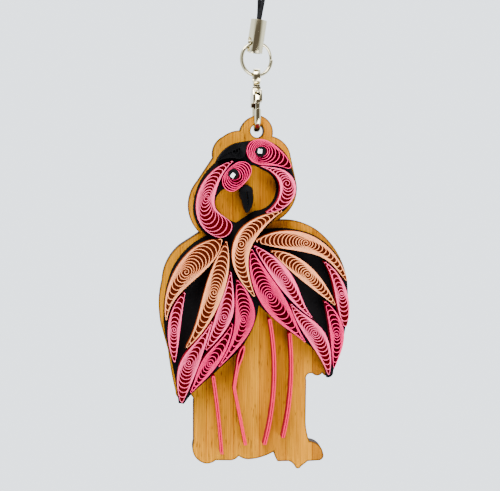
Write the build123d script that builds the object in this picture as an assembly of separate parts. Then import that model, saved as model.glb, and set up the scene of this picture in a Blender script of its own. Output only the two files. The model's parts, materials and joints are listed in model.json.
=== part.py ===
from build123d import *
import bisect
import math
import os

# Hanging charm: two flamingos of quilled paper on black card and a bamboo plate.
# Millimetres, +Z up, the paper faces -Y. The origin is the top of the cord loop.

# Bamboo plate
PLATE_THICKNESS = 3.0
HANG_HOLE_DIAMETER = 2.74

# Paper
CARD_THICKNESS = 0.5
STRIP_HEIGHT = 3.0
STRIP_THICKNESS = 0.17
LEG_WIDTH = 0.7
LEG_SLOT = 0.14

# Paper eyes
EYE_DIAMETER = 2.3
EYE_THICKNESS = 0.6
SPARK_SIDE = 0.95
SPARK_THICKNESS = 0.15

# Cord and end cap
CORD_DIAMETER = 0.8
LOOP_RISE = 45.0
CAP_DIAMETER = 3.4
CAP_WALL = 0.4
CAP_LENGTH = 6.8
CAP_LEAN = 8.6
CROSS_HOLE_DIAMETER = 2.4
CROSS_HOLE_FROM_MOUTH = 1.8
KNOT_LENGTH = 1.8
KNOT_DEPTH = 1.2
FIT_CLEARANCE = 0.05

# Split ring
RING_DIAMETER = 7.4
RING_WIRE_RADIAL = 0.6
RING_WIRE_AXIAL = 0.45
RING_GROOVE = 0.1
RING_TURN_ANGLE = 20.0
RING_LIFT = 0.3
RING_SHIFT = 0.2

# Lobster clasp, which hangs edge-on below the ring
EYE_HOLE_DIAMETER = 2.3
EYE_WALL = 0.55
EYE_SLACK = 0.3
EYE_RISE = 8.2
HOOK_CLEARANCE = 0.8
HOOK_WIDTH = 1.3
HOOK_DEPTH = 1.0
HEAD_TOP = 5.75
HEAD_HEIGHT = 3.85
HEAD_WIDTH = 1.9
HEAD_OVERHANG = 0.7
SLOT_ROOF = 0.4
SLOT_BEHIND_PIN = 1.9
PIVOT_DROP = 1.25
PIVOT_INSET = 1.0
NECK_WIDTH = 1.4
NECK_DEPTH = 1.3
COLLAR_HEIGHT = 0.4
COLLAR_PROUD = 0.15
LEVER_WIDTH = 0.8
LEVER_SIDE_CLEARANCE = 0.1
LEVER_REACH = 3.45
LEVER_BOSS_DIAMETER = 1.5
LEVER_TIP_CLEARANCE = 0.1
PIN_DIAMETER = 0.6
KNOB_DIAMETER = 0.84
KNOB_HEIGHT = 0.6
KNOB_ROOT = 0.15
KNOB_PLACE = (-1.7, -1.5)
SPRING_THICKNESS = 0.12
SPRING_WIDTH = 0.7
HANG_CLEARANCE = 0.05

# Places that follow from the sizes, from the cord loop down to the plate
HOOK_INNER_RADIUS = PLATE_THICKNESS / 2 + HOOK_CLEARANCE
RING_MEAN_RADIUS = (RING_DIAMETER - RING_WIRE_RADIAL) / 2
LEAN = math.radians(CAP_LEAN)
CAP_TOP = Vector(-1.0, 0, -LOOP_RISE)
CAP_DOWN = Vector(-math.sin(LEAN), 0, -math.cos(LEAN))
CROSS_HOLE = CAP_TOP + CAP_DOWN * (CAP_LENGTH - CROSS_HOLE_FROM_MOUTH)
RING_TOP = CROSS_HOLE + Vector(RING_SHIFT, 0, RING_LIFT)
RING_CENTRE = RING_TOP - Vector(0, 0, RING_MEAN_RADIUS)
CLASP_EYE = RING_CENTRE - Vector(0, 0, RING_MEAN_RADIUS + EYE_SLACK)
HOOK_CENTRE = CLASP_EYE - Vector(0, 0, EYE_RISE)
HOOK_TOP_AT_FACE = math.sqrt(HOOK_INNER_RADIUS**2 - (PLATE_THICKNESS / 2) ** 2)
HANG_HOLE = HOOK_CENTRE - Vector(0, 0, HOOK_TOP_AT_FACE + HANG_HOLE_DIAMETER / 2 - HANG_CLEARANCE)


def facing_plane(depth):
    """Plane parallel to the plate, that far in front of its middle; local y is up."""
    return Plane(origin=(HANG_HOLE.X, -depth, HANG_HOLE.Z), x_dir=(1, 0, 0), z_dir=(0, -1, 0))


CLASP_PLANE = Plane(origin=HOOK_CENTRE, x_dir=(0, 1, 0), z_dir=(1, 0, 0))
PLATE_FRONT = PLATE_THICKNESS / 2
CARD_FRONT = PLATE_FRONT + CARD_THICKNESS
COIL_FRONT = CARD_FRONT + STRIP_HEIGHT

parts = {}


def chain(*runs):
    """Closed face from lines and arcs. Each run starts where the last one ends:
    one point is the end of a line, two are the middle and the end of an arc."""
    edges = []
    last = runs[-1][-1]
    for run in runs:
        if len(run) == 1:
            edges.append(Line(last, run[0]))
        else:
            edges.append(ThreePointArc(last, *run))
        last = run[-1]
    return make_face(edges)


# Bamboo plate. Outline points are measured from the hanging hole's centre, x across and z up.
plate_outline = chain(
    [(-2.2, 2.3), (0.1, 3.3)],
    [(2.35, 2.2), (3.25, -1.1)],
    [(5.8, -2.6), (7.1, -5.4)],
    [(8.3, -10.9)],
    [(7.9, -14.7), (4.5, -18.6)],
    [(9.9, -19.25), (14.2, -22.0)],
    [(17.5, -26.4), (19.1, -31.3)],
    [(19.3, -36.0), (18.7, -41.0)],
    [(17.8, -46.0), (16.0, -50.9)],
    [(15.0, -51.8), (13.9, -51.2)],
    [(12.9, -51.7), (11.9, -51.3)],
    [(11.0, -51.3), (10.5, -52.6)],
    [(10.4, -60.5)],
    [(10.55, -63.2), (11.2, -65.8)],
    [(13.4, -66.8), (14.2, -68.5)],
    [(14.05, -69.6), (13.2, -70.0)],
    [(10.9, -70.1)],
    [(9.4, -71.25)],
    [(8.75, -71.65), (8.15, -71.2)],
    [(7.6, -70.5), (6.8, -70.0)],
    [(4.4, -70.0)],
    [(3.95, -69.2), (3.6, -67.9)],
    [(1.0, -69.0), (-1.9, -69.45)],
    [(-3.0, -69.2), (-3.9, -68.7)],
    [(-4.6, -69.3), (-5.6, -69.6)],
    [(-8.8, -69.5)],
    [(-10.2, -70.15), (-11.9, -69.8)],
    [(-13.3, -68.4), (-13.5, -65.5)],
    [(-13.5, -57.0)],
    [(-13.6, -55.9), (-14.2, -55.3)],
    [(-15.9, -56.3), (-17.2, -54.7)],
    [(-18.1, -50.4), (-18.8, -45.6)],
    [(-20.3, -40.0)],
    [(-20.65, -36.0), (-20.0, -31.2)],
    [(-18.6, -26.5), (-16.2, -23.7)],
    [(-12.2, -21.1)],
    [(-14.4, -16.2), (-12.5, -10.4)],
    [(-9.3, -5.6)],
    [(-9.1, -3.4), (-7.0, -1.1)],
    [(-5.4, -0.2), (-3.6, 0.1)],
)
hang_hole = Circle(HANG_HOLE_DIAMETER / 2)
plate = extrude(plate_outline - hang_hole, PLATE_THICKNESS)
parts["bamboo_plate"] = facing_plane(-PLATE_FRONT).location * plate

# Black card: a silhouette that shows as a thin edge, with a window between the necks
card_outline = chain(
    [(4.2, -3.05), (7.0, -6.8)],
    [(8.35, -11.8)],
    [(7.1, -15.0), (4.6, -17.5)],
    [(1.6, -20.4)],
    [(6.0, -20.3), (10.3, -21.1)],
    [(15.6, -24.5), (19.1, -31.5)],
    [(18.8, -41.2), (16.2, -50.7)],
    [(15.6, -51.95), (14.7, -52.0)],
    [(12.9, -47.2), (9.8, -44.2)],
    [(4.8, -40.5), (0.3, -36.5)],
    [(-1.1, -41.7), (-4.2, -46.4)],
    [(-13.9, -55.1)],
    [(-15.5, -57.2)],
    [(-16.6, -57.0)],
    [(-17.6, -50.2), (-19.1, -43.4)],
    [(-19.6, -36.0), (-18.0, -29.0)],
    [(-15.2, -24.9), (-10.6, -21.7)],
    [(-12.3, -19.8), (-13.4, -16.6)],
    [(-12.6, -11.9), (-8.8, -6.6)],
    [(-7.0, -3.9), (-3.2, -2.25)],
    [(0.2, -1.75)],
)
card_window = chain(
    [(-8.6, -14.0), (-8.6, -16.0)],
    [(-7.4, -17.4), (-4.5, -19.1)],
    [(-0.6, -16.6)],
    [(2.6, -15.3), (3.85, -12.9)],
    [(3.5, -10.0), (1.5, -8.3)],
    [(-0.8, -7.1)],
    [(-1.65, -7.3)],
    [(-2.3, -10.1), (-4.8, -12.15)],
    [(-7.0, -12.1)],
)
card = extrude(card_outline - card_window, CARD_THICKNESS)
parts["card_backing"] = facing_plane(PLATE_FRONT).location * card


# Coils: steps along the middle line for its lengths, flat stretches along each side, the
# least gap that is cut, the half width below which a gap's outer end is a point, the room
# round the heart in core radii, and how fast the gaps narrow towards the heart
STEPS = 60
SIDE_FACETS = 11
LEAST_GAP = 0.15
POINTED_BELOW = 0.35
HEART_ROOM = 1.15
GAP_FALL = 1.3
HEART_SHARE = 0.4

# Angles of the points across a gap's outer and inner bend, for slim, bowed and round coils
SLIM = ((-30, 30), (90, 30, -30, -90))
BOWED = ((-90, -30, 30, 90), (90, 30, -30, -90))
ROUND = ((-90, -40, 40, 90), (90, 40, -40, -90))


class Leaf:
    """The outline of a pinched coil: two sides between its tips, and a chart over it.

    Places are given as a distance from one of the tips and an offset from the middle line,
    which is positive towards the right side."""

    def __init__(self, tips, left, right):
        self.left = Spline(tips[0], *left, tips[1])
        self.right = Spline(tips[0], *right, tips[1])
        middle = [((self.left @ (n / STEPS)) + (self.right @ (n / STEPS))) / 2 for n in range(STEPS + 1)]
        self.along = [0]
        for here, there in zip(middle, middle[1:]):
            self.along.append(self.along[-1] + (there - here).length)
        self.length = self.along[-1]

    def share(self, tip, distance):
        """Where along the sides the middle line is that far from the tip."""
        wanted = distance if tip == 0 else self.length - distance
        n = min(bisect.bisect_right(self.along, wanted) - 1, STEPS - 1)
        return (n + (wanted - self.along[n]) / (self.along[n + 1] - self.along[n])) / STEPS

    def half_width(self, tip, distance):
        u = self.share(tip, distance)
        return ((self.right @ u) - (self.left @ u)).length / 2

    def point(self, tip, distance, offset):
        u = self.share(tip, distance)
        v = offset / self.half_width(tip, distance)
        return (self.left @ u) * (0.5 - v / 2) + (self.right @ u) * (0.5 + v / 2)

    def shoulder(self, tip, start, turn, reach):
        """Depth and half width of the bend that starts there, with that many windings outside it."""
        depth = 0
        for _ in range(4):
            width = self.half_width(tip, start + depth) - turn * STRIP_THICKNESS
            depth = min(0.9 * width, 0.8 * (reach - start))
        return depth, width

    def bend(self, tip, start, turn, reach, angles):
        """Points across such a bend."""
        depth = self.shoulder(tip, start, turn, reach)[0]
        points = []
        for angle in map(math.radians, angles):
            distance = start + depth * (1 - math.cos(angle))
            side = self.half_width(tip, distance) - turn * STRIP_THICKNESS
            points.append(self.point(tip, distance, side * math.sin(angle)))
        return points

    def open_from(self, tip, turn):
        """Distance from the tip where that many windings leave room between the two sides."""
        distance = STRIP_THICKNESS
        while self.half_width(tip, distance) < turn * STRIP_THICKNESS + 0.08:
            distance += 0.1
        return distance


def crescent(leaf, tip, outer_start, inner_start, turn, reach, bends):
    """The open gap between two windings, from one packed side to the other."""
    start = max(outer_start + STRIP_THICKNESS, leaf.open_from(tip, turn))
    if inner_start - start < LEAST_GAP:
        return None
    if leaf.shoulder(tip, start, turn, reach)[1] < POINTED_BELOW:
        side = leaf.half_width(tip, inner_start) - turn * STRIP_THICKNESS
        left_end = leaf.point(tip, inner_start, -side)
        right_end = leaf.point(tip, inner_start, side)
        outside = [left_end, leaf.point(tip, start, 0), right_end]
    else:
        outside = leaf.bend(tip, start, turn, reach, bends[0])
    inside = leaf.bend(tip, inner_start, turn, reach, bends[1])
    return Wire.make_polygon(outside + inside, close=True)


def coil(tips, left, right, heart=0.5, turns=4, bends=SLIM):
    """One paper strip rolled round its heart and pinched, as a solid that stands on the card.

    Its windings are packed solid along both sides and leave open crescents towards the tips."""
    leaf = Leaf(tips, left, right)
    centre = heart * leaf.length
    core = leaf.half_width(0, centre) - turns * STRIP_THICKNESS
    holes = []
    for tip, reach in ((0, centre), (1, leaf.length - centre)):
        last = reach - HEART_ROOM * core
        starts = [last * (1 - (1 - n / turns) ** GAP_FALL) for n in range(turns + 1)]
        for turn, (outer, inner) in enumerate(zip(starts, starts[1:]), 1):
            holes.append(crescent(leaf, tip, outer, inner, turn, reach, bends))
    middle = leaf.point(0, centre, 0)
    corners = [math.radians(angle) for angle in range(0, 360, 72)]
    open_radius = HEART_SHARE * core
    ring = [middle + open_radius * Vector(math.cos(angle), math.sin(angle)) for angle in corners]
    holes.append(Wire.make_polygon(ring, close=True))
    rim = [leaf.left @ (n / SIDE_FACETS) for n in range(SIDE_FACETS)]
    rim += [leaf.right @ (1 - n / SIDE_FACETS) for n in range(SIDE_FACETS)]
    face = Face(Wire.make_polygon(rim, close=True), [hole for hole in holes if hole])
    return extrude(face, STRIP_HEIGHT, dir=(0, 0, 1))


def on_card(solid):
    return facing_plane(CARD_FRONT).location * solid


# Left wing, from the outside towards the middle
left_wing = [
    coil(
        ((-7.5, -22.3), (-19.0, -40.4)),
        [(-8.4, -25.4), (-13.0, -30.5), (-17.8, -35.6)],
        [(-12.4, -23.5), (-17.4, -28.9), (-19.4, -35.4)],
        0.45,
        4,
    ),
    coil(
        ((-15.1, -33.1), (-17.4, -48.4)),
        [(-15.8, -37.5), (-16.7, -44.5)],
        [(-17.6, -36.1), (-18.85, -41.0), (-18.15, -46.4)],
        0.52,
        3,
    ),
    coil(
        ((-6.6, -22.6), (-15.7, -45.6)),
        [(-6.1, -27.5), (-7.6, -34.4), (-11.2, -41.0)],
        [(-8.9, -26.6), (-11.3, -33.2), (-13.3, -40.6)],
        0.47,
        4,
    ),
    coil(
        ((-5.7, -28.3), (-11.3, -45.9)),
        [(-5.25, -32.6), (-5.4, -38.4), (-7.75, -42.4)],
        [(-6.65, -31.9), (-8.55, -37.1), (-10.1, -42.0)],
        0.55,
        3,
    ),
    coil(
        ((-4.5, -30.6), (-9.3, -50.2)),
        [(-2.0, -33.8), (-0.65, -38.0), (-3.6, -44.3)],
        [(-4.9, -35.8), (-5.0, -39.5), (-5.75, -43.3), (-7.2, -46.6)],
        0.5,
        4,
    ),
    coil(
        ((-9.15, -38.1), (-16.1, -56.9)),
        [(-11.0, -44.3), (-14.2, -52.9)],
        [(-12.5, -43.0), (-16.4, -48.2), (-16.95, -53.0)],
        0.54,
        4,
    ),
    coil(
        ((-5.25, -39.3), (-14.9, -55.3)),
        [(-6.25, -44.3), (-9.55, -49.9), (-12.6, -53.0)],
        [(-8.4, -43.6), (-11.75, -47.5), (-13.6, -52.3)],
        0.5,
        3,
    ),
]

# Right wing, from the top edge down to the lowest tip and back up the outside
right_wing = [
    coil(
        ((-0.7, -22.8), (18.8, -31.8)),
        [(3.6, -20.95), (10.6, -21.5), (16.6, -26.5)],
        [(3.6, -24.15), (9.5, -25.15), (14.3, -26.9), (17.3, -30.0)],
        0.5,
        4,
    ),
    coil(
        ((2.5, -24.8), (16.4, -36.7)),
        [(7.6, -25.9), (13.2, -30.8)],
        [(5.6, -28.1), (12.4, -33.7)],
        0.53,
        3,
    ),
    coil(
        ((-1.1, -23.6), (12.5, -39.9)),
        [(2.8, -25.7), (7.6, -31.0), (9.6, -35.9)],
        [(1.5, -28.3), (6.8, -35.25)],
        0.5,
        4,
    ),
    coil(
        ((-1.5, -24.1), (11.6, -46.0)),
        [(1.5, -28.7), (6.3, -36.0), (8.7, -41.5)],
        [(-1.95, -27.6), (-0.95, -32.9), (2.3, -38.2), (7.4, -42.3)],
        0.5,
        4,
    ),
    coil(
        ((6.6, -35.6), (14.8, -51.6)),
        [(9.4, -38.05), (13.4, -41.3), (15.25, -46.8)],
        [(8.3, -40.2), (12.6, -46.9)],
        0.5,
        3,
    ),
    coil(
        ((13.7, -35.2), (15.8, -50.2)),
        [(16.6, -38.2), (18.05, -42.5), (17.0, -47.3)],
        [(14.6, -39.7), (15.4, -46.4)],
        0.5,
        3,
    ),
    coil(
        ((13.4, -26.8), (18.3, -41.5)),
        [(16.9, -30.1), (19.0, -35.4)],
        [(15.2, -30.4), (16.6, -36.8)],
        0.5,
        3,
    ),
]
for number, solid in enumerate(left_wing, 1):
    parts[f"left_wing_coil_{number}"] = on_card(solid)
for number, solid in enumerate(right_wing, 1):
    parts[f"right_wing_coil_{number}"] = on_card(solid)

# Necks: one curved coil on the left, two on the right
parts["left_neck_coil"] = on_card(
    coil(
        ((-5.0, -6.15), (-5.0, -20.6)),
        [(-6.45, -7.6), (-8.4, -11.3), (-8.75, -16.2), (-5.5, -19.1)],
        [(-10.3, -9.1), (-12.9, -14.6), (-11.4, -20.2), (-7.2, -22.05)],
        0.52,
        4,
        BOWED,
    )
)
parts["right_neck_upper_coil"] = on_card(
    coil(
        ((-0.1, -7.2), (1.0, -17.1)),
        [(2.0, -7.5), (5.6, -8.3), (7.8, -11.6), (6.2, -15.3), (3.2, -16.75)],
        [(2.1, -8.15), (4.0, -10.0), (4.0, -14.2), (2.4, -16.25)],
        0.52,
        3,
        BOWED,
    )
)
parts["right_neck_lower_coil"] = on_card(
    coil(
        ((5.4, -16.4), (-0.45, -34.9)),
        [(3.2, -18.0), (0.6, -20.7), (-1.8, -24.8), (-1.9, -29.8)],
        [(1.4, -17.3), (-3.6, -20.2), (-5.6, -26.0), (-3.3, -31.7)],
        0.47,
        4,
    )
)

# Heads
parts["left_head_coil"] = on_card(
    coil(
        ((-7.2, -12.05), (-1.85, -6.95)),
        [(-5.7, -12.6), (-3.0, -11.0), (-1.5, -8.5)],
        [(-7.6, -10.5), (-6.35, -7.95), (-3.8, -6.4)],
        0.5,
        3,
        ROUND,
    )
)
parts["right_head_coil"] = on_card(
    coil(
        ((-2.4, -3.6), (7.05, -8.2)),
        [(-2.1, -5.4), (-0.6, -6.8), (2.4, -7.2), (6.1, -7.85)],
        [(-1.2, -2.1), (1.0, -1.8), (4.0, -3.5), (6.3, -6.1)],
        0.4,
        3,
        ROUND,
    )
)


def beak(outline, heart):
    """A coil of black paper, packed tight, with no open gaps but its small heart."""
    return extrude(outline - Pos(*heart) * RegularPolygon(0.35, 6), STRIP_HEIGHT)


right_beak_outline = chain(
    [(-6.75, -3.6), (-4.2, -2.4)],
    [(-2.95, -2.75), (-2.75, -4.3)],
    [(-3.1, -5.5), (-4.2, -5.85)],
    [(-6.4, -5.75), (-8.75, -6.6)],
)
left_beak_outline = chain(
    [(-3.05, -15.9), (-3.5, -14.3)],
    [(-3.95, -12.9), (-3.4, -11.75)],
    [(-2.0, -11.3), (-1.05, -12.8)],
    [(-1.15, -15.3), (-2.4, -17.2)],
)
parts["right_beak_coil"] = on_card(beak(right_beak_outline, (-4.9, -4.2)))
parts["left_beak_coil"] = facing_plane(PLATE_FRONT).location * beak(left_beak_outline, (-2.3, -13.3))

# Eyes: a tight roll of black paper on the head coil, with a white paper square on it
eye_places = {
    "left_eye": ((-4.75, -9.05), (-4.98, -9.17), 37),
    "right_eye": ((1.15, -4.4), (0.75, -4.17), 7),
}
for name, (centre, spark, angle) in eye_places.items():
    roll = extrude(Circle(EYE_DIAMETER / 2), EYE_THICKNESS)
    square = extrude(Rot(0, 0, angle) * Rectangle(SPARK_SIDE, SPARK_SIDE), SPARK_THICKNESS)
    on_eye = facing_plane(COIL_FRONT + EYE_THICKNESS)
    parts[name] = facing_plane(COIL_FRONT).location * Pos(*centre) * roll
    parts[f"{name}_highlight"] = on_eye.location * Pos(*spark) * square


def leg(*arcs):
    """A strip folded double that stands on its edge on the wood, with the fold at the top.

    Each arc is a start, a middle and an end; the next one starts there."""
    outer, inner = LEG_WIDTH / 2, LEG_SLOT / 2
    edges = []
    for side in (-outer, -inner, inner, outer):
        for arc in arcs:
            edges.append(ThreePointArc(*[(x + side, z) for x, z in arc]))
    top_x, top_z = arcs[0][0]
    foot_x, foot_z = arcs[-1][-1]
    edges.append(ThreePointArc((top_x - outer, top_z), (top_x, top_z + outer), (top_x + outer, top_z)))
    edges.append(Line((top_x - inner, top_z), (top_x + inner, top_z)))
    for side in (-1, 1):
        edges.append(Line((foot_x + side * outer, foot_z), (foot_x + side * inner, foot_z)))
    return extrude(make_face(edges), STRIP_HEIGHT)


leg_lines = [
    [((-9.15, -51.7), (-8.2, -59.0), (-7.4, -68.0))],
    [((-4.2, -47.2), (-4.5, -50.8), (-5.0, -54.3)), ((-5.0, -54.3), (-3.9, -59.6), (-2.6, -66.2))],
    [((2.7, -39.9), (3.65, -52.5), (1.6, -66.2))],
    [((6.9, -42.9), (7.2, -52.5), (5.5, -64.8))],
]
for number, arcs in enumerate(leg_lines, 1):
    parts[f"leg_{number}"] = facing_plane(PLATE_FRONT).location * leg(*arcs)


# Cord loop. Both strands leave the cap one behind the other and part to the loop's top.
strand_depth = 0.525 * CORD_DIAMETER
knot_top = CAP_TOP + CAP_DOWN * (KNOT_DEPTH - FIT_CLEARANCE)
cord_route = [
    (knot_top.X, -strand_depth, knot_top.Z),
    (-0.1, -0.3, -40.7),
    (1.1, -0.1, -34.0),
    (3.6, 0, -17.3),
    (4.1, 0, -8.3),
    (4.0, 0, -2.34),
    (1.66, 0, 0),
    (-1.66, 0, 0),
    (-4.0, 0, -2.34),
    (-4.05, 0, -8.6),
    (-3.45, 0, -17.3),
    (-1.3, 0.1, -34.0),
    (-0.75, 0.3, -40.7),
    (knot_top.X, strand_depth, knot_top.Z),
]
corner_radii = []
for before, corner, after in zip(cord_route, cord_route[1:], cord_route[2:]):
    run_in = Vector(*corner) - Vector(*before)
    run_out = Vector(*after) - Vector(*corner)
    half_turn = math.radians(run_in.get_angle(run_out)) / 2
    corner_radii.append(0.45 * min(run_in.length, run_out.length) / math.tan(half_turn))
print("cord radii", [round(radius, 1) for radius in corner_radii])
cord_path = FilletPolyline(*cord_route, radius=corner_radii)
cord_start = Plane(origin=cord_path @ 0, z_dir=cord_path % 0)
cord_section = RegularPolygon(CORD_DIAMETER / 2, 6)
cord = sweep(cord_start * cord_section, path=cord_path)
print("cord length", round(cord_path.length, 2), "volume", round(cord.volume, 3))
print("section times length", round(cord_section.area * cord_path.length, 3))
parts["cord_loop"] = cord

# End cap: a metal tube that leans with the cord, with a cross hole for the ring
cap_frame = Pos(*CAP_TOP) * Rot(0, CAP_LEAN, 0)
cap_radius = CAP_DIAMETER / 2
cap_bore = cap_radius - CAP_WALL
from_top = (Align.CENTER, Align.CENTER, Align.MAX)
tube = Cylinder(cap_radius, CAP_LENGTH, align=from_top)
cross_drill = Rot(0, 90, 0) * Cylinder(CROSS_HOLE_DIAMETER / 2, 2 * CAP_DIAMETER)
cross_bore = Pos(0, 0, CROSS_HOLE_FROM_MOUTH - CAP_LENGTH) * Rot(0, 0, RING_TURN_ANGLE) * cross_drill
cap = tube - Cylinder(cap_bore, CAP_LENGTH, align=from_top) - cross_bore
parts["cord_cap"] = cap_frame * cap
knot = Pos(0, 0, -KNOT_DEPTH) * extrude(RegularPolygon(cap_bore - FIT_CLEARANCE, 12), -KNOT_LENGTH)
parts["cord_knot"] = cap_frame * knot

# Split ring: two turns side by side, with a groove between them and a step where each ends
outer = RING_DIAMETER / 2
inner = outer - RING_WIRE_RADIAL
ring_section = make_face(
    Polyline(
        (inner, -RING_WIRE_AXIAL),
        (outer, -RING_WIRE_AXIAL),
        (outer - RING_GROOVE, 0),
        (outer, RING_WIRE_AXIAL),
        (inner, RING_WIRE_AXIAL),
        (inner + RING_GROOVE, 0),
        close=True,
    )
)
ring = revolve(Plane.XZ * ring_section, Axis.Z)
ring_facing = Pos(*RING_CENTRE) * Rot(0, 0, RING_TURN_ANGLE) * Rot(90, 0, 0)
wire_end = extrude(Rectangle(1.4 * RING_WIRE_RADIAL, RING_GROOVE), RING_WIRE_AXIAL)
for side, angle in ((1, 28), (-1, 62)):
    turn_end = Rot(0, 0, angle) * Pos(RING_MEAN_RADIUS, 0, 0) * wire_end
    if side < 0:
        turn_end = mirror(turn_end, about=Plane.XY)
    ring = ring - turn_end
parts["split_ring"] = ring_facing * ring

# Lobster clasp. Its profile lies in the plane of the hook: local x is depth, local y is up.
hook_radius = HOOK_INNER_RADIUS + HOOK_DEPTH / 2
hook_outer = HOOK_INNER_RADIUS + HOOK_DEPTH
slot_width = LEVER_WIDTH + 2 * LEVER_SIDE_CLEARANCE
head_front = -HOOK_INNER_RADIUS - HEAD_OVERHANG
head_bottom = HEAD_TOP - HEAD_HEIGHT
head_floor = head_bottom + 0.85
spine_top = head_bottom + 1.3
pivot = (PIVOT_INSET - HOOK_INNER_RADIUS, HEAD_TOP - PIVOT_DROP)

hook_path = Line((hook_radius, spine_top), (hook_radius, 0)) + JernArc(
    (hook_radius, 0), (0, -1), hook_radius, -180
)
hook_path += Line((-hook_radius, 0), (-hook_radius, head_bottom))
hook_start = Plane(origin=(hook_radius, spine_top, 0), x_dir=(1, 0, 0), z_dir=(0, -1, 0))
hook_section = Rectangle(HOOK_DEPTH, HOOK_WIDTH)
hook_section = chamfer(hook_section.vertices(), 0.3 * HOOK_DEPTH)
hook = sweep(hook_start * hook_section, path=hook_path)
tip_sweep = Pos(*pivot) * Cylinder(LEVER_REACH + LEVER_TIP_CLEARANCE, 2 * HEAD_WIDTH)
hook -= tip_sweep & Pos(-hook_radius, head_floor) * Box(2 * HOOK_DEPTH, 4, 2 * HEAD_WIDTH)

shoulder = NECK_DEPTH / 2 + COLLAR_PROUD + 0.1
head_profile = Polygon(
    (-shoulder, HEAD_TOP),
    (-HOOK_INNER_RADIUS, HEAD_TOP - 0.35),
    (head_front + 0.05, HEAD_TOP - 1.35),
    (head_front, HEAD_TOP - 2.65),
    (pivot[0] - 0.1, head_floor),
    (HOOK_INNER_RADIUS - 0.4, head_floor),
    (HOOK_INNER_RADIUS, head_bottom),
    (hook_outer, head_bottom),
    (hook_outer, HEAD_TOP - 1.55),
    (HOOK_INNER_RADIUS - 0.1, HEAD_TOP - 0.35),
    (shoulder, HEAD_TOP),
    align=None,
)
head = extrude(head_profile, HEAD_WIDTH / 2, both=True)
slot_back = pivot[0] + SLOT_BEHIND_PIN
slot_plan = Rectangle(slot_back - head_front + 1, HEAD_HEIGHT, align=(Align.MAX, Align.MAX))
slot = extrude(Pos(slot_back, HEAD_TOP - SLOT_ROOF) * slot_plan, slot_width / 2, both=True)
from_head = (Align.CENTER, Align.MIN)
neck_plan = Pos(0, HEAD_TOP) * Rectangle(NECK_DEPTH, EYE_RISE - HEAD_TOP, align=from_head)
neck = extrude(neck_plan, NECK_WIDTH / 2, both=True)
collar_plan = Pos(0, HEAD_TOP) * Rectangle(NECK_DEPTH + 2 * COLLAR_PROUD, COLLAR_HEIGHT, align=from_head)
collar = extrude(collar_plan, NECK_WIDTH / 2 + COLLAR_PROUD, both=True)
eye_outer = EYE_HOLE_DIAMETER / 2 + EYE_WALL
eye = Pos(0, EYE_RISE) * Cylinder(eye_outer, NECK_WIDTH)
eye_hole = Pos(0, EYE_RISE) * Cylinder(EYE_HOLE_DIAMETER / 2, 2 * HEAD_WIDTH)
pin_hole = Pos(*pivot) * Cylinder(PIN_DIAMETER / 2, 2 * HEAD_WIDTH)
clasp = head - slot + hook + neck + collar + eye - eye_hole - pin_hole
parts["clasp_body"] = CLASP_PLANE.location * clasp

# Lever, drawn round its pin: a boss, a curved arm that shuts the hook's mouth, and a thumb knob
lever_arm = Polygon(
    (-0.6, 0.4),
    (-1.45, -0.5),
    (-1.85, -1.5),
    (-2.0, -LEVER_REACH),
    (-1.1, -LEVER_REACH),
    (-0.9, -1.7),
    (0, -0.7),
    align=None,
)
lever_profile = (lever_arm + Circle(LEVER_BOSS_DIAMETER / 2)) & Circle(LEVER_REACH)
lever = extrude(lever_profile, LEVER_WIDTH / 2, both=True)
knob = Pos(*KNOB_PLACE) * Rot(0, -90, 0) * Cylinder(
    KNOB_DIAMETER / 2, KNOB_HEIGHT + KNOB_ROOT, align=(Align.CENTER, Align.CENTER, Align.MIN)
)
lever = lever + knob - Cylinder(PIN_DIAMETER / 2 + FIT_CLEARANCE, 2 * HEAD_WIDTH)
parts["clasp_lever"] = CLASP_PLANE.location * Pos(*pivot) * lever

pin = Pos(*pivot) * Cylinder(PIN_DIAMETER / 2, HEAD_WIDTH)
parts["lever_pin"] = CLASP_PLANE.location * pin

# Spring strip: it stands on the slot's back wall, bends under the pin and presses on the lever
spring_foot = SLOT_BEHIND_PIN - 0.15
spring_line = Polyline((spring_foot, 0.7), (spring_foot, -0.8), (-0.45, -1.45))
spring = extrude(trace(spring_line, SPRING_THICKNESS), SPRING_WIDTH / 2, both=True)
parts["lever_spring"] = CLASP_PLANE.location * Pos(*pivot) * spring

os.makedirs("parts", exist_ok=True)
for name, solid in parts.items():
    solid.label = name
    export_step(solid, f"parts/{name}.step")
print("hang hole", HANG_HOLE, "ring top", RING_TOP, "clasp eye", CLASP_EYE, "hook centre", HOOK_CENTRE)
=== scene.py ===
# %% [markdown]
# # A quilled paper charm: two flamingos on a bamboo plate
#
# Quilling rolls long paper strips on edge and pinches the rolls into leaves. This charm has two
# flamingos made of such rolls, glued on black card and on a laser-cut bamboo plate, and it hangs
# by a lobster clasp, a split ring and a metal end cap on a thin cord.
#
# The CAD model already holds every piece at its real size. Here the pieces get their looks: the
# rolls are wound again from long strips, the plate gets its burnt edge, and the metal is rounded.
# All lengths are in metres, and MM turns millimetres into them.

# %% Load the frame
import json
import math

import bmesh
import bpy
import numpy as np
from mathutils import Matrix, Vector


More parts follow.
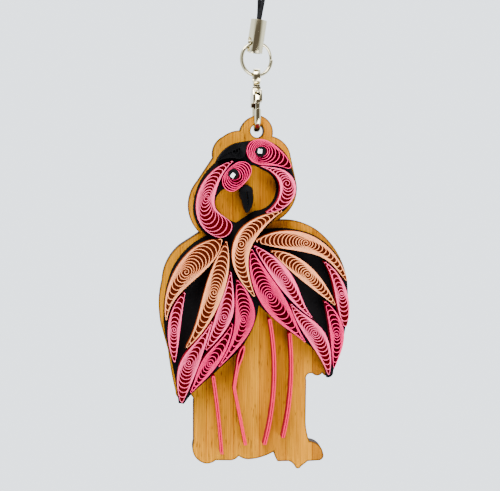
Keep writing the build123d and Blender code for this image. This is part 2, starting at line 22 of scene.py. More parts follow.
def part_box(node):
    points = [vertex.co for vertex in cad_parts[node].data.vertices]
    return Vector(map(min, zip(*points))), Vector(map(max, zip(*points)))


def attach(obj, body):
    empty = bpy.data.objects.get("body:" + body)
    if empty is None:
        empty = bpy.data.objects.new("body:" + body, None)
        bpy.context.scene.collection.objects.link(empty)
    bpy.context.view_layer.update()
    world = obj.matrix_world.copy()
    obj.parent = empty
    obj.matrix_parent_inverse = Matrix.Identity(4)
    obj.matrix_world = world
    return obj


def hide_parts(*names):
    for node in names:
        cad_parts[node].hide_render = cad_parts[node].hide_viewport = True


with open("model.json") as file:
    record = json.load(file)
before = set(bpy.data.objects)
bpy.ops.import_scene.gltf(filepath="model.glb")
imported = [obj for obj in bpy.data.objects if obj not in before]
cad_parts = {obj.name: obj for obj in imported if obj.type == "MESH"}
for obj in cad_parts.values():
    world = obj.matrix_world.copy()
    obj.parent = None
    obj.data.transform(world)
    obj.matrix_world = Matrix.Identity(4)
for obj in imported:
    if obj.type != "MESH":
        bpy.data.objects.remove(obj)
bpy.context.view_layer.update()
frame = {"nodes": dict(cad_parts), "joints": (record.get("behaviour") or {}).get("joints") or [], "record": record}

MM = 0.001
TINY = 1e-6
JOIN_DISTANCE = 0.001 * MM
SMOOTH_ANGLE = math.radians(40)
record = frame["record"]
joints = {joint["name"]: joint for joint in frame["joints"]}

# %% [markdown]
# ## Camera
#
# The picture was taken from almost straight in front, a little from the left and from above.
# A long lens keeps the plate's proportions. The camera looks at the point of the plate's middle
# plane that lies in the middle of the picture, which is measured from the hanging hole.

# %% Camera
IMAGE_WIDTH, IMAGE_HEIGHT = 500, 491
PIXELS_PER_MM = 4.74
HOLE_PIXEL = (256.4, 131.6)
HOLE_BELOW_PLATE_TOP = 3.3 * MM
LENS_MM = 85
SENSOR_MM = 36
CLIP_START = 0.01
CAMERA_AZIMUTH = math.radians(-5)
CAMERA_ELEVATION = math.radians(4)

plate_low, plate_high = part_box("bamboo_plate")
hole_x = joints["plate_swing"]["pos_m"][0]
hole_z = plate_high.z - HOLE_BELOW_PLATE_TOP
hole_mm = np.array([hole_x, hole_z]) / MM

right_of_hole = (IMAGE_WIDTH / 2 - HOLE_PIXEL[0]) / PIXELS_PER_MM
above_hole = (HOLE_PIXEL[1] - IMAGE_HEIGHT / 2) / PIXELS_PER_MM
target = Vector((hole_x + right_of_hole * MM, 0, hole_z + above_hole * MM))
picture_width = IMAGE_WIDTH / PIXELS_PER_MM * MM
camera_distance = picture_width * LENS_MM / SENSOR_MM
towards_camera = Vector(
    (
        math.sin(CAMERA_AZIMUTH) * math.cos(CAMERA_ELEVATION),
        -math.cos(CAMERA_AZIMUTH) * math.cos(CAMERA_ELEVATION),
        math.sin(CAMERA_ELEVATION),
    )
)
bpy.ops.object.select_all(action="DESELECT")
bpy.ops.object.camera_add(location=target + towards_camera * camera_distance)
camera = bpy.context.object
camera.name = "camera"
camera.rotation_euler = (-towards_camera).to_track_quat("-Z", "Y").to_euler()
camera.data.lens = LENS_MM
camera.data.sensor_width = SENSOR_MM
camera.data.clip_start = CLIP_START
bpy.context.scene.camera = camera
print("camera distance", round(camera_distance, 3), "looking at", [round(c, 4) for c in target])

# %% [markdown]
# ## Helpers
#
# A few small helpers are used by every finish. Colours are written as sRGB hex values, the way a
# paint or paper chart gives them, and `tint` turns them into the linear values that shaders use.
# `add` puts one node into a material and sets its settings, its inputs and, on a colour ramp, its
# stops. `wire` links what is made later.


# %% Colour and node helpers
def tint(code):
    """Linear colour of an sRGB hex code."""
    channels = [int(code[n : n + 2], 16) / 255 for n in (1, 3, 5)]
    linear = [c / 12.92 if c <= 0.04045 else ((c + 0.055) / 1.055) ** 2.4 for c in channels]
    return (*linear, 1.0)


def add(material, kind, settings=None, inputs=None, stops=()):
    """Adds a node. An input is a value, or an output socket that is linked to it, and a stop is
    a position on a colour ramp and a colour code."""
    tree = material.node_tree
    made = tree.nodes.new(kind)
    for name, value in (settings or {}).items():
        setattr(made, name, value)
    for name, value in (inputs or {}).items():
        socket = made.inputs[name]
        if isinstance(value, bpy.types.NodeSocket):
            tree.links.new(value, socket)
        else:
            socket.default_value = value
    if stops:
        elements = made.color_ramp.elements
        while len(elements) < len(stops):
            elements.new(0.5)
        for element, (position, code) in zip(elements, stops):
            element.position = position
            element.color = tint(code)
    return made


def new_material(name):
    """A material with only its output node, and the Principled shader linked to it."""
    material = bpy.data.materials.new(name)
    material.use_nodes = True
    material.node_tree.nodes.clear()
    shader = add(material, "ShaderNodeBsdfPrincipled")
    add(material, "ShaderNodeOutputMaterial", inputs={"Surface": shader.outputs[0]})
    return material, shader


def wire(material, source, target_socket):
    """Links an output to an input."""
    material.node_tree.links.new(source, target_socket)


def set_numbers(shader, numbers):
    """Sets inputs of a shader that are the same all over."""
    for name, value in numbers.items():
        shader.inputs[name].default_value = value


def dress(piece, material):
    """Gives a piece one material."""
    piece.data.materials.clear()
    piece.data.materials.append(material)


# %% [markdown]
# ## Cord
#
# The loop is a thin braided phone cord of polyester, 0.8 mm thick, black and hardly shiny. It is
# soft, so it hangs in one smooth line: out of the end cap, round the place that it hangs on, and
# back into the cap. A NURBS curve with a round bevel is that line. The braid is two diagonal
# patterns that cross, in the material.

# %% Cord
CORD_DIAMETER = 0.8 * MM
CORD_ROUTE_MM = [
    (-1.172, -0.42, -46.137),
    (-0.1, -0.3, -40.7),
    (1.1, -0.1, -34.0),
    (3.6, 0, -17.3),
    (4.1, 0, -8.3),
    (4.0, 0, -2.34),
    (1.66, 0, 0),
    (-1.66, 0, 0),
    (-4.0, 0, -2.34),
    (-4.05, 0, -8.6),
    (-3.45, 0, -17.3),
    (-1.3, 0.1, -34.0),
    (-0.75, 0.3, -40.7),
    (-1.172, 0.42, -46.137),
]
cord_curve = bpy.data.curves.new("cord", "CURVE")
cord_curve.dimensions = "3D"
cord_spline = cord_curve.splines.new("NURBS")
cord_spline.points.add(len(CORD_ROUTE_MM) - 1)
for point, place in zip(cord_spline.points, CORD_ROUTE_MM):
    point.co = (*[c * MM for c in place], 1)
cord_spline.order_u = 3
cord_spline.use_endpoint_u = True
cord_spline.resolution_u = 10
cord_curve.bevel_depth = CORD_DIAMETER / 2
cord_curve.bevel_resolution = 4
cord = bpy.data.objects.new("cord", cord_curve)
bpy.context.scene.collection.objects.link(cord)

BRAID_PITCH = 0.9 * MM
# Diagonal bands of a wave texture with this scale lie two pitches apart along the cord
BAND_SCALE = 0.3 / BRAID_PITCH
BRAID_DEPTH = 0.08 * MM
cord_material, cord_shader = new_material("braided polyester cord")
cord_place = add(cord_material, "ShaderNodeTexCoord")
braid_waves = []
for side in (1, -1):
    mirrored = add(
        cord_material,
        "ShaderNodeMapping",
        inputs={"Vector": cord_place.outputs["Object"], "Scale": (side, side, 1)},
    )
    wave = add(
        cord_material,
        "ShaderNodeTexWave",
        {"bands_direction": "DIAGONAL"},
        {"Vector": mirrored.outputs[0], "Scale": BAND_SCALE},
    )
    braid_waves.append(wave.outputs["Fac"])
braid = add(
    cord_material,
    "ShaderNodeMath",
    {"operation": "MAXIMUM"},
    {0: braid_waves[0], 1: braid_waves[1]},
).outputs[0]
cord_tone = add(
    cord_material,
    "ShaderNodeValToRGB",
    inputs={"Fac": braid},
    stops=[(0, "#020203"), (1, "#0C0C0E")],
)
wire(cord_material, cord_tone.outputs["Color"], cord_shader.inputs["Base Color"])
cord_bump = add(
    cord_material,
    "ShaderNodeBump",
    inputs={"Height": braid, "Distance": BRAID_DEPTH, "Strength": 0.8},
)
wire(cord_material, cord_bump.outputs[0], cord_shader.inputs["Normal"])
set_numbers(cord_shader, {"Roughness": 0.75, "Specular IOR Level": 0.12})
dress(cord, cord_material)
dress(frame["nodes"]["cord_knot"], cord_material)

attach(cord, "root")
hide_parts("cord_loop")

# %% [markdown]
# ## Papers
#
# Quilling strips are dyed, uncoated paper, matt and a little fuzzy. The cut edge that faces the
# viewer shows the pale core of the sheet. The flat sides carry the full dye, and are coloured darker
# still as painted shade, since they face into the narrow gaps between the turns. Light leaks
# through such thin sheets from turn to turn, so the gaps glow dark red and aren't black. Following
# that light would take very many bounces, so the flat sides glow a little themselves, as a painted glow.
# An attribute named "edge" tells the two apart. A fine noise stands for the fibres. Real fibres
# are a tenth as wide, and are drawn this coarse so that they show.

# %% Paper material
LEAKED_LIGHT = 0.24
FIBRE = 0.35 * MM
FIBRE_DEPTH = 0.02 * MM
MOTTLE = 6 * FIBRE
BLACK = "#000000"


def paper(name, code, shade, side, leak=BLACK):
    """Uncoated dyed paper: its cut edge in two tones, and its flat side, whose colour side is the dye
    darkened by painted shade, and whose painted glow in the colour leak stands for the light that
    leaks through it."""
    material, shader = new_material(name)
    place = add(material, "ShaderNodeTexCoord").outputs["Object"]
    mottle = add(
        material,
        "ShaderNodeTexNoise",
        inputs={"Vector": place, "Scale": 1 / MOTTLE, "Detail": 3, "Roughness": 0.6},
    ).outputs["Fac"]
    core = add(
        material,
        "ShaderNodeValToRGB",
        inputs={"Fac": mottle},
        stops=[(0.3, shade), (0.62, code)],
    ).outputs["Color"]
    cut = add(material, "ShaderNodeAttribute", {"attribute_name": "edge"}).outputs["Fac"]
    # The flat sides get their dark tone, which is painted shade, and the painted glow of leaked light; the cut
    # edge gets the mottled tone and no glow
    for on_shaded_side, on_edge, socket in (
        (tint(side), core, shader.inputs["Base Color"]),
        (tint(leak), tint(BLACK), shader.inputs["Emission Color"]),
    ):
        either = add(
            material,
            "ShaderNodeMix",
            {"data_type": "RGBA"},
            {"Factor": cut, "A": on_shaded_side, "B": on_edge},
        )
        wire(material, either.outputs["Result"], socket)
    grain = add(
        material,
        "ShaderNodeTexNoise",
        inputs={"Vector": place, "Scale": 1 / FIBRE, "Detail": 4, "Roughness": 0.7},
    ).outputs["Fac"]
    bump = add(
        material,
        "ShaderNodeBump",
        inputs={"Height": grain, "Distance": FIBRE_DEPTH, "Strength": 0.5},
    )
    wire(material, bump.outputs[0], shader.inputs["Normal"])
    numbers = {"Emission Strength": LEAKED_LIGHT, "Roughness": 0.9, "Specular IOR Level": 0.1}
    set_numbers(shader, numbers)
    return material


# Each paper: its name, the two tones of its cut edge, its flat side's dye darkened by painted shade, and the
# colour of the flat side's painted glow
papers = {
    "peach_paper": paper("peach quilling paper", "#FFA26C", "#FF945C", "#70300C", "#B83C00"),
    "light_pink_paper": paper(
        "light pink quilling paper", "#FF5688", "#FA4A7C", "#780C22", "#C00012"
    ),
    "deep_pink_paper": paper(
        "deep pink quilling paper", "#FF1E70", "#F61866", "#580618", "#900014"
    ),
    "black_paper": paper("black quilling paper", "#08080A", "#050506", "#040405"),
    # White, for the eyes' painted glints
    "white_paper": paper("white paper", "#FFFFFF", "#F2F2F2", "#F4F4F4"),
}
print("papers", sorted(papers))

# %% [markdown]
# ## Reading a coil's outline
#
# A pinched coil keeps the outline of its CAD node. The front face's rim is read from the frame,
# and its two sharpest corners are the pinched tips. They split the rim into a left and a right
# side. A place in the coil is then a distance from a tip and an offset from the middle line.

# %% Outline of a coil
SAMPLES = 240
CURVE_STEPS = 6


def front_rim(name):
    """The front outline of a CAD node in millimetres, x and z, counter-clockwise from the front."""
    mesh = bmesh.new()
    mesh.from_mesh(frame["nodes"][name].data)
    bmesh.ops.remove_doubles(mesh, verts=mesh.verts, dist=JOIN_DISTANCE)
    front_y = min(vertex.co.y for vertex in mesh.verts)
    front = {
        face
        for face in mesh.faces
        if all(abs(vertex.co.y - front_y) < JOIN_DISTANCE for vertex in face.verts)
    }
    beside = {}
    for edge in mesh.edges:
        if sum(face in front for face in edge.link_faces) == 1:
            a, b = edge.verts
            beside.setdefault(a, []).append(b)
            beside.setdefault(b, []).append(a)
    loops = []
    unused = dict.fromkeys(beside)
    while unused:
        loop = [unused.popitem()[0]]
        while True:
            onward = [vertex for vertex in beside[loop[-1]] if vertex in unused]
            if not onward:
                break
            loop.append(onward[0])
            del unused[onward[0]]
        loops.append(np.array([(vertex.co.x, vertex.co.z) for vertex in loop]) / MM)
    mesh.free()
    rim = max(loops, key=lambda loop: np.ptp(loop[:, 0]) * np.ptp(loop[:, 1]))
    following = np.roll(rim, -1, axis=0)
    area = (rim[:, 0] * following[:, 1] - rim[:, 1] * following[:, 0]).sum()
    return rim if area > 0 else rim[::-1]


def lengths_along(points):
    """Distance of each point from the first one, along the line of points."""
    steps = np.linalg.norm(np.diff(points, axis=0), axis=1)
    return np.concatenate([[0], np.cumsum(steps)])


def evenly(points, count):
    """Points spread evenly along a line of points."""
    along = lengths_along(points)
    wanted = np.linspace(0, along[-1], count)
    return np.column_stack([np.interp(wanted, along, points[:, axis]) for axis in (0, 1)])


def rounded(points):
    """A smooth line of cubic curves through points."""
    ends = np.vstack([2 * points[0] - points[1], points, 2 * points[-1] - points[-2]])
    t = np.arange(CURVE_STEPS)[:, None] / CURVE_STEPS
    runs = []
    for a, b, c, d in zip(ends, ends[1:], ends[2:], ends[3:]):
        square = 2 * a - 5 * b + 4 * c - d
        cube = 3 * (b - c) + d - a
        runs.append(b + 0.5 * t * (c - a + t * (square + t * cube)))
    return np.vstack([*runs, points[-1:]])


class Leaf:
    """The outline of a pinched coil, with its upper tip first."""

    def __init__(self, name, blunt=False):
        rim = front_rim(name)
        into = rim - np.roll(rim, 1, axis=0)
        out = np.roll(rim, -1, axis=0) - rim
        cross = into[:, 0] * out[:, 1] - into[:, 1] * out[:, 0]
        turn = np.abs(np.arctan2(cross, (into * out).sum(axis=1)))
        first, second = np.argsort(-turn)[:2]
        if blunt:
            second = np.argmax(np.linalg.norm(rim - rim[first], axis=1))
        upper, lower = sorted((first, second), key=lambda n: -rim[n, 1])
        rim = np.roll(rim, -upper, axis=0)
        lower = (lower - upper) % len(rim)
        self.left = evenly(rounded(rim[: lower + 1]), SAMPLES)
        self.right = evenly(rounded(np.vstack([rim[lower:], rim[:1]])[::-1]), SAMPLES)
        self.middle = (self.left + self.right) / 2
        self.along = lengths_along(self.middle)
        self.length = self.along[-1]
        self.width = np.linalg.norm(self.right - self.left, axis=1) / 2

    def half_width(self, distance):
        """Half the leaf's width, at a distance from the upper tip."""
        return float(np.interp(distance, self.along, self.width))

    def point(self, distance, offset):
        """x and z in millimetres; the offset from the middle line is positive to the right."""
        share = offset / max(self.half_width(distance), TINY)
        left, right = (
            np.array([np.interp(distance, self.along, side[:, axis]) for axis in (0, 1)])
            for side in (self.left, self.right)
        )
        return left * (0.5 - share / 2) + right * (0.5 + share / 2)

    def nearest(self, place):
        """Distance and offset of a place in millimetres."""
        n = int(np.argmin(np.linalg.norm(self.middle - place, axis=1)))
        across = self.right[n] - self.left[n]
        offset = np.dot(place - self.middle[n], across) / max(np.linalg.norm(across), TINY)
        return float(self.along[n]), float(offset)


# %% [markdown]
# ## Winding a coil
#
# A real coil is one strip of paper. Rolled up, let go and pinched, its turns lie tight along both
# sides and stand apart towards the tips, as a row of little bridges. `wind` follows the strip from
# the outside to the heart: over the upper tip, down the right side, round the lower tip and up the
# left side, and each turn starts a bit further in than the last. At the heart the strip curls up.
#
# The strip itself is a grid primitive, one face high and as long as the path has points. Each
# column of the grid is carried to its place on the path, and a Solidify modifier gives the paper
# its thickness. At the sides, where the turns touch, the paper is drawn thinner, so that turns
# don't run into each other. A thin flat sheet with the paper's material closes the bottom of the
# gaps: it shows the flat sides' painted shade and painted glow, for light that passes through the paper.

# %% Path of the strip
# Points of a bend, of a side and of the curl at the heart, and starts found for each turn
BEND_STEPS = 14
SIDE_STEPS = 16
CURL_STEPS = 26
KNOTS_PER_TURN = 4
# Distance between packed turns in millimetres, how the open turns crowd towards the heart at
# the tips, and how the loose ones crowd towards the rim at the sides
PITCH = 0.075
SPACING = 1.3
SIDE_CROWDING = 3
# A bend's depth as a share of its half width, and at most of what is left before the heart
BEND_DEPTH = 1.05
BEND_ROOM = 0.85
DEPTH_ROUNDS = 4
# Least half widths in millimetres where a turn may start and where it may pass
LEAST_START = 0.1
LEAST_PASS = 0.02
SEEK_STEP = 0.04
# The curl: its turns, its last radius as a share of its first, its taper and how open it lies
CURL_TURNS = 1.15
CURL_END = 0.25
CURL_TAPER = 0.7
CURL_OPEN = 0.6
# Most of a leaf's half width that the curl fills, how far aside it may lie, and its clearance
CORE_SHARE = 0.6
CORE_ASIDE = 0.9
CORE_CLEARANCE = 1.1


def wind(leaf, heart, turns, core, pitch=PITCH, spacing=SPACING, packed=False):
    """Path of a strip, in millimetres, and how open it lies at each point, from 0 to 1.

    The curl at the heart has the radius `core`. A packed coil leaves no gaps at its tips."""
    heart_distance, heart_offset = leaf.nearest(heart)
    widest = leaf.half_width(heart_distance)
    core = min(core, CORE_SHARE * widest)
    heart_offset = float(np.clip(heart_offset, core - widest, widest - core)) * CORE_ASIDE
    reach = {0: heart_distance, 1: leaf.length - heart_distance}

    def distance_from(tip, inward):
        return inward if tip == 0 else leaf.length - inward

    def band(side, turn):
        """How thick the turns outside this one lie on a side, which is -1 on the left."""
        room = max(widest - side * heart_offset - core, pitch)
        tight = min(1.0, pitch * turns / room)
        share = turn / turns
        return pitch / 2 + room * (tight * share + (1 - tight) * share**SIDE_CROWDING)

    def channel(tip, inward, turn):
        """Middle and half width of what the outer turns leave open."""
        width = leaf.half_width(distance_from(tip, inward))
        left, right = width - band(-1, turn), width - band(1, turn)
        return (right - left) / 2, (left + right) / 2

    knots = np.linspace(0, turns, turns * KNOTS_PER_TURN + 1)
    starts = {}
    for tip in (0, 1):
        last = reach[tip] - core * CORE_CLEARANCE
        found = []
        for turn in knots:
            inside = pitch * turn if packed else last * (1 - (1 - turn / turns) ** spacing)
            start = max(pitch / 2 + inside, found[-1] if found else 0)
            while channel(tip, start, turn)[1] < LEAST_START and start < last:
                start += SEEK_STEP
            found.append(min(start, last))
        starts[tip] = np.array(found)

    def nose(tip, turn):
        """Start and depth of a bend, and half the width that it spans."""
        start = float(np.interp(turn, knots, starts[tip]))
        depth = 0.0
        for _ in range(DEPTH_ROUNDS):
            half = max(channel(tip, start + depth, turn)[1], LEAST_PASS)
            depth = min(BEND_DEPTH * half, BEND_ROOM * (reach[tip] - start))
        return start, depth, max(channel(tip, start + depth, turn)[1], LEAST_PASS)

    path, open_share = [], []
    for lap in range(turns):
        for quarter in range(4):
            steps = BEND_STEPS if quarter % 2 == 0 else SIDE_STEPS
            for step in range(steps):
                part = step / steps
                turn = lap + (quarter + part) / 4
                if quarter % 2 == 0:
                    tip = quarter // 2
                    angle = math.pi * (part - 0.5)
                    start, depth, span = nose(tip, turn)
                    inward = start + depth * (1 - math.cos(angle))
                    centre, half = channel(tip, inward, turn)
                    aside = min(span * abs(math.sin(angle)), max(half, LEAST_PASS))
                    swing = math.copysign(aside, angle if tip == 0 else -angle)
                    path.append(leaf.point(distance_from(tip, inward), centre + swing))
                    open_share.append(math.cos(angle))
                else:
                    side = 1 if quarter == 1 else -1
                    upper_start, upper_depth, _ = nose(0, turn)
                    lower_start, lower_depth, _ = nose(1, turn)
                    ends = [upper_start + upper_depth, leaf.length - lower_start - lower_depth]
                    if side < 0:
                        ends.reverse()
                    distance = ends[0] + (ends[1] - ends[0]) * part
                    offset = side * (leaf.half_width(distance) - band(side, turn))
                    path.append(leaf.point(distance, offset))
                    open_share.append(0.0)
    centre = leaf.point(heart_distance, heart_offset)
    away = path[-1] - centre
    radius, angle = np.linalg.norm(away), math.atan2(away[1], away[0])
    for step in range(1, CURL_STEPS + 1):
        part = step / CURL_STEPS
        turned = angle - 2 * math.pi * CURL_TURNS * part
        shrunk = radius * (1 - (1 - CURL_END) * part**CURL_TAPER)
        path.append(centre + shrunk * np.array([math.cos(turned), math.sin(turned)]))
        open_share.append(CURL_OPEN)
    return np.array(path), np.array(open_share)


# %% Ribbon, and a strip of paper on edge
PAPER_THICKNESS = 0.13 * MM
SIDE_THICKNESS_SHARE = 0.55
# The front edge strays by this much, along stretches of this many points
RAGGED = 0.03 * MM
RAGGED_EVERY = 20
# A face looks to the front or the back where the y of its normal is larger than this
FACES_FRONT = 0.7
random = np.random.default_rng(7)


def ribbon(name, rows, thickness, open_share=None):
    """A long strip between two rows of points in metres, with a thickness."""
    bpy.ops.object.select_all(action="DESELECT")
    count = rows.shape[1]
    bpy.ops.mesh.primitive_grid_add(x_subdivisions=count - 1, y_subdivisions=1, size=1)
    piece = bpy.context.object
    piece.name = name
    piece.data.vertices.foreach_set("co", rows.astype(np.float32).ravel())
    piece.data.update()
    solid = piece.modifiers.new("thickness", "SOLIDIFY")
    solid.thickness = thickness
    solid.offset = 0
    if open_share is not None:
        weights = piece.vertex_groups.new(name="open")
        for n, share in enumerate(np.tile(open_share, 2)):
            weights.add([n], float(share), "REPLACE")
        solid.vertex_group = "open"
        solid.thickness_vertex_group = SIDE_THICKNESS_SHARE
    bpy.ops.object.modifier_apply(modifier=solid.name)
    bpy.ops.object.shade_smooth_by_angle(angle=SMOOTH_ANGLE)
    return piece


def mark_cut_edge(piece):
    """Gives the attribute "edge" to the faces that look to the front or the back."""
    cut = piece.data.attributes.new("edge", "FLOAT", "FACE")
    facing = [float(abs(face.normal.y) > FACES_FRONT) for face in piece.data.polygons]
    cut.data.foreach_set("value", facing)


def strip(name, path, open_share, front_y, back_y):
    """A paper strip that stands on edge along a path in millimetres, its cut edge to the front."""
    count = len(path)
    knots = np.arange(0, count + RAGGED_EVERY, RAGGED_EVERY)
    drift = np.interp(np.arange(count), knots, random.uniform(-1, 1, len(knots)))
    rows = np.zeros((2, count, 3))
    rows[:, :, 0] = path[:, 0] * MM
    rows[:, :, 2] = path[:, 1] * MM
    rows[0, :, 1] = front_y + RAGGED * (1 + drift)
    rows[1, :, 1] = back_y
    piece = ribbon(name, rows, PAPER_THICKNESS, open_share)
    mark_cut_edge(piece)
    return piece


# %% Glowing sheet under a coil, painted shade and painted glow
GLOW_SHEET_LIFT = 0.1 * MM
GLOW_SHEET_THICKNESS = 0.06 * MM
GLOW_SHEET_INSET = 0.2
GLOW_SHEET_POINTS = 36


def add_glow_sheet(piece, leaf, back_y):
    """Joins a flat sheet, a little smaller than the leaf's outline, to a wound piece. It takes the
    piece's paper, so it shows the flat sides' painted shade and painted glow at the gaps' bottom.
    """
    places = np.linspace(2 * GLOW_SHEET_INSET, leaf.length - 2 * GLOW_SHEET_INSET, GLOW_SHEET_POINTS)
    halves = [max(leaf.half_width(place) - GLOW_SHEET_INSET, 0) for place in places]
    rims = [
        leaf.point(place, side * half) for side in (-1, 1) for place, half in zip(places, halves)
    ]
    bpy.ops.object.select_all(action="DESELECT")
    bpy.ops.mesh.primitive_grid_add(x_subdivisions=GLOW_SHEET_POINTS - 1, y_subdivisions=1, size=1)
    glow_sheet = bpy.context.object
    for vertex, (x, z) in zip(glow_sheet.data.vertices, rims):
        vertex.co = (x * MM, back_y - GLOW_SHEET_LIFT, z * MM)
    solid = glow_sheet.modifiers.new("glow_sheet", "SOLIDIFY")
    solid.thickness = GLOW_SHEET_THICKNESS
    solid.offset = 0
    bpy.ops.object.modifier_apply(modifier=solid.name)
    piece.select_set(True)
    bpy.context.view_layer.objects.active = piece
    bpy.ops.object.join()


# %% [markdown]
# ## The coils of the wings, necks and heads
#
# Each coil is named after the CAD node that it stands for. Its heart is where the photo shows the
# little curl, in millimetres from the hanging hole, and the number of turns is counted there.

# %% Coils
# Heart, number of turns, and the radius of the curl at the heart in millimetres
COILS = {
    "left_wing_coil_1": ((-15.0, -29.1), 11, 0.82),
    "left_wing_coil_2": ((-17.5, -41.1), 8, 0.57),
    "left_wing_coil_3": ((-9.2, -33.4), 12, 0.72),
    "left_wing_coil_4": ((-7.1, -38.5), 9, 0.67),
    "left_wing_coil_5": ((-3.2, -39.1), 10, 0.52),
    "left_wing_coil_6": ((-14.5, -48.0), 10, 0.62),
    "left_wing_coil_7": ((-10.1, -48.3), 9, 0.47),
    "right_wing_coil_1": ((9.9, -23.2), 13, 0.72),
    "right_wing_coil_2": ((10.3, -29.9), 11, 0.72),
    "right_wing_coil_3": ((5.5, -30.5), 12, 0.62),
    "right_wing_coil_4": ((2.4, -34.3), 12, 0.72),
    "right_wing_coil_5": ((11.9, -42.1), 11, 0.62),
    "right_wing_coil_6": ((16.4, -42.5), 8, 0.47),
    "right_wing_coil_7": ((17.5, -33.9), 8, 0.47),
    "left_neck_coil": ((-10.4, -13.9), 11, 0.62),
    "right_neck_upper_coil": ((5.9, -10.9), 9, 0.92),
    "right_neck_lower_coil": ((-3.6, -23.4), 12, 0.82),
    "left_head_coil": ((-5.2, -9.0), 6, 0.82),
    "right_head_coil": ((0.9, -4.3), 8, 0.82),
}
# These are packed looser or tighter along their sides, or have other gaps at their ends
WINDING = {
    "left_wing_coil_5": {"pitch": 0.13},
    "left_wing_coil_7": {"pitch": 0.1},
    "right_wing_coil_4": {"pitch": 0.115},
    "right_wing_coil_6": {"pitch": 0.1},
    "right_neck_upper_coil": {"pitch": 0.06},
    "left_head_coil": {"spacing": 1.2},
    "right_head_coil": {"spacing": 1.5},
}
# This one is round where the others have their second tip
BLUNT = {"right_head_coil"}
slot_of = {row["node"]: row["material_slot"] for row in record["subparts"]}


def stand_for(piece, node, body="charm"):
    """The piece goes on a body and stands in for a CAD node, which is hidden."""
    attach(piece, body)
    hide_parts(node)


for name, (heart, turns, core) in COILS.items():
    leaf = Leaf(name, blunt=name in BLUNT)
    path, open_share = wind(leaf, hole_mm + heart, turns, core, **WINDING.get(name, {}))
    low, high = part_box(name)
    piece = strip(name.replace("coil", "quilled_strip"), path, open_share, low.y, high.y)
    # A sheet with the flat sides' painted shade and painted glow closes the bottom of the gaps
    add_glow_sheet(piece, leaf, high.y)
    dress(piece, papers[slot_of[name]])
    stand_for(piece, name)
    print(piece.name, "turns", turns, "strip length mm", round(lengths_along(path)[-1]))

# %% [markdown]
# ## Beaks and eyes
#
# The beaks are wound from black strips too, but so tight that no gap is left. The eyes are plain
# round rolls of a narrow strip, a fifth as high as the coils, and they stand on the head coils.
# Each has a small white square on it, a painted glint. The rolls are glued on by hand, so
# each roll and its glint is moved from its CAD place by what the photo shows.

# %% Beaks
BEAK_HEARTS = {"left_beak_coil": (-2.3, -13.3), "right_beak_coil": (-4.9, -4.2)}
BEAK_TURNS = 9
BEAK_CORE = 0.3
TIGHT_PITCH = 0.14
for name, heart in BEAK_HEARTS.items():
    leaf = Leaf(name, blunt=True)
    path, open_share = wind(
        leaf, hole_mm + heart, BEAK_TURNS, BEAK_CORE, TIGHT_PITCH, packed=True
    )
    low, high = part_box(name)
    piece = strip(name.replace("coil", "quilled_strip"), path, open_share, low.y, high.y)
    dress(piece, papers["black_paper"])
    stand_for(piece, name)
    print(piece.name, "turns", BEAK_TURNS)

# %% Eyes
# How far each roll and its white square, a painted glint, are moved, x and z, and the glint's width, height and
# turn
EYES = {
    "left_eye": ((-0.47, 0.1), (-0.39, -0.03), (0.75, 0.95), 37),
    "right_eye": ((-0.76, 0.0), (-0.54, -0.08), (0.85, 0.9), 7),
}
EYE_STEPS = 180
EYE_HOLE_TURNS = 0.5


def moved_middle(node, move):
    """The middle of a CAD node, moved by x and z in millimetres."""
    low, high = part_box(node)
    return (low + high) / 2 + Vector((move[0], 0, move[1])) * MM


for name, (roll_move, glint_move, glint_size, glint_turn) in EYES.items():
    low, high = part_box(name)
    middle = moved_middle(name, roll_move)
    roll_radius = (high.x - low.x) / 2 / MM - TIGHT_PITCH / 2
    roll_turns = roll_radius / TIGHT_PITCH - EYE_HOLE_TURNS
    turned = np.linspace(0, 2 * math.pi * roll_turns, EYE_STEPS)
    radii = roll_radius - TIGHT_PITCH * turned / (2 * math.pi)
    circle = np.column_stack([np.cos(turned), np.sin(turned)])
    path = np.array([middle.x, middle.z]) / MM + circle * radii[:, None]
    piece = strip(f"{name}_roll", path, np.ones(len(path)), low.y, high.y)
    dress(piece, papers["black_paper"])
    stand_for(piece, name)
    # The white square is a painted glint on the eye roll
    low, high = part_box(f"{name}_highlight")
    bpy.ops.object.select_all(action="DESELECT")
    bpy.ops.mesh.primitive_cube_add(size=1)
    square = bpy.context.object
    square.name = f"{name}_painted_glint"
    square.scale = (glint_size[0] * MM, high.y - low.y, glint_size[1] * MM)
    square.rotation_euler = (0, math.radians(glint_turn), 0)
    square.location = moved_middle(f"{name}_highlight", glint_move)
    bpy.ops.object.transform_apply(location=True, rotation=True, scale=True)
    dress(square, papers["white_paper"])
    stand_for(square, f"{name}_highlight")
    print(piece.name, "radius mm", round(roll_radius, 2))

# %% [markdown]
# ## Legs
#
# Each leg is one deep pink strip folded double, glued to the wood on its edge. Three of them are
# copies of their CAD nodes, which have the fold and the slit already: their loose triangles are
# merged, and the attribute "edge" is put on the faces to the front. The second leg's fold stands
# open below the wing, so that leg is folded here from a ribbon.

# %% Copy of a CAD node with joined faces
FLAT_ANGLE = math.radians(0.5)


def joined_copy(node, name):
    """A copy of a CAD node with its triangles joined, and no edges left in flat areas."""
    bpy.ops.object.select_all(action="DESELECT")
    piece = bpy.data.objects.new(name, frame["nodes"][node].data.copy())
    bpy.context.scene.collection.objects.link(piece)
    bpy.context.view_layer.objects.active = piece
    piece.select_set(True)
    bpy.ops.object.mode_set(mode="EDIT")
    bpy.ops.mesh.select_all(action="SELECT")
    bpy.ops.mesh.remove_doubles(threshold=JOIN_DISTANCE)
    bpy.ops.mesh.dissolve_limited(angle_limit=FLAT_ANGLE)
    bpy.ops.mesh.select_all(action="DESELECT")
    bpy.ops.object.mode_set(mode="OBJECT")
    return piece


